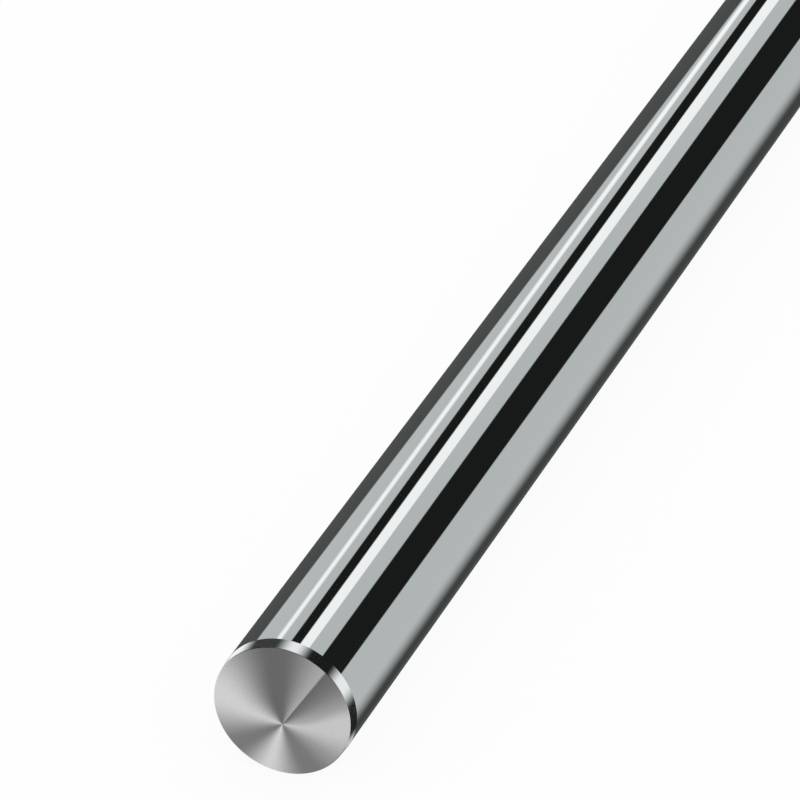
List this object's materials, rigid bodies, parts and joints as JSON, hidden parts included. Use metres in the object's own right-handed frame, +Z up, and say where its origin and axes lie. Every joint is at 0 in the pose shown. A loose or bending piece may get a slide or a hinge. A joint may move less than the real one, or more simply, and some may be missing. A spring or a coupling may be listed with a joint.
{
  "type": "linear shaft",
  "caption": "Solid round steel bar, ground and chrome plated, with turned end faces and slim lead-in chamfers; carries and guides a linear bearing along its length.",
  "frame": {"origin": "on the shaft's axis, midway between its two end faces", "axes": "+X along the shaft's axis, +Z up as the shaft lies on a level surface"},
  "size_m": [0.3, 0.02, 0.02],
  "materials": {
    "chromed_steel": "hard chrome, ground and polished to a mirror along the bar; end faces fine turned"
  },
  "bodies": {
    "root": {"shaft": "chromed_steel"}
  },
  "joints": []
}
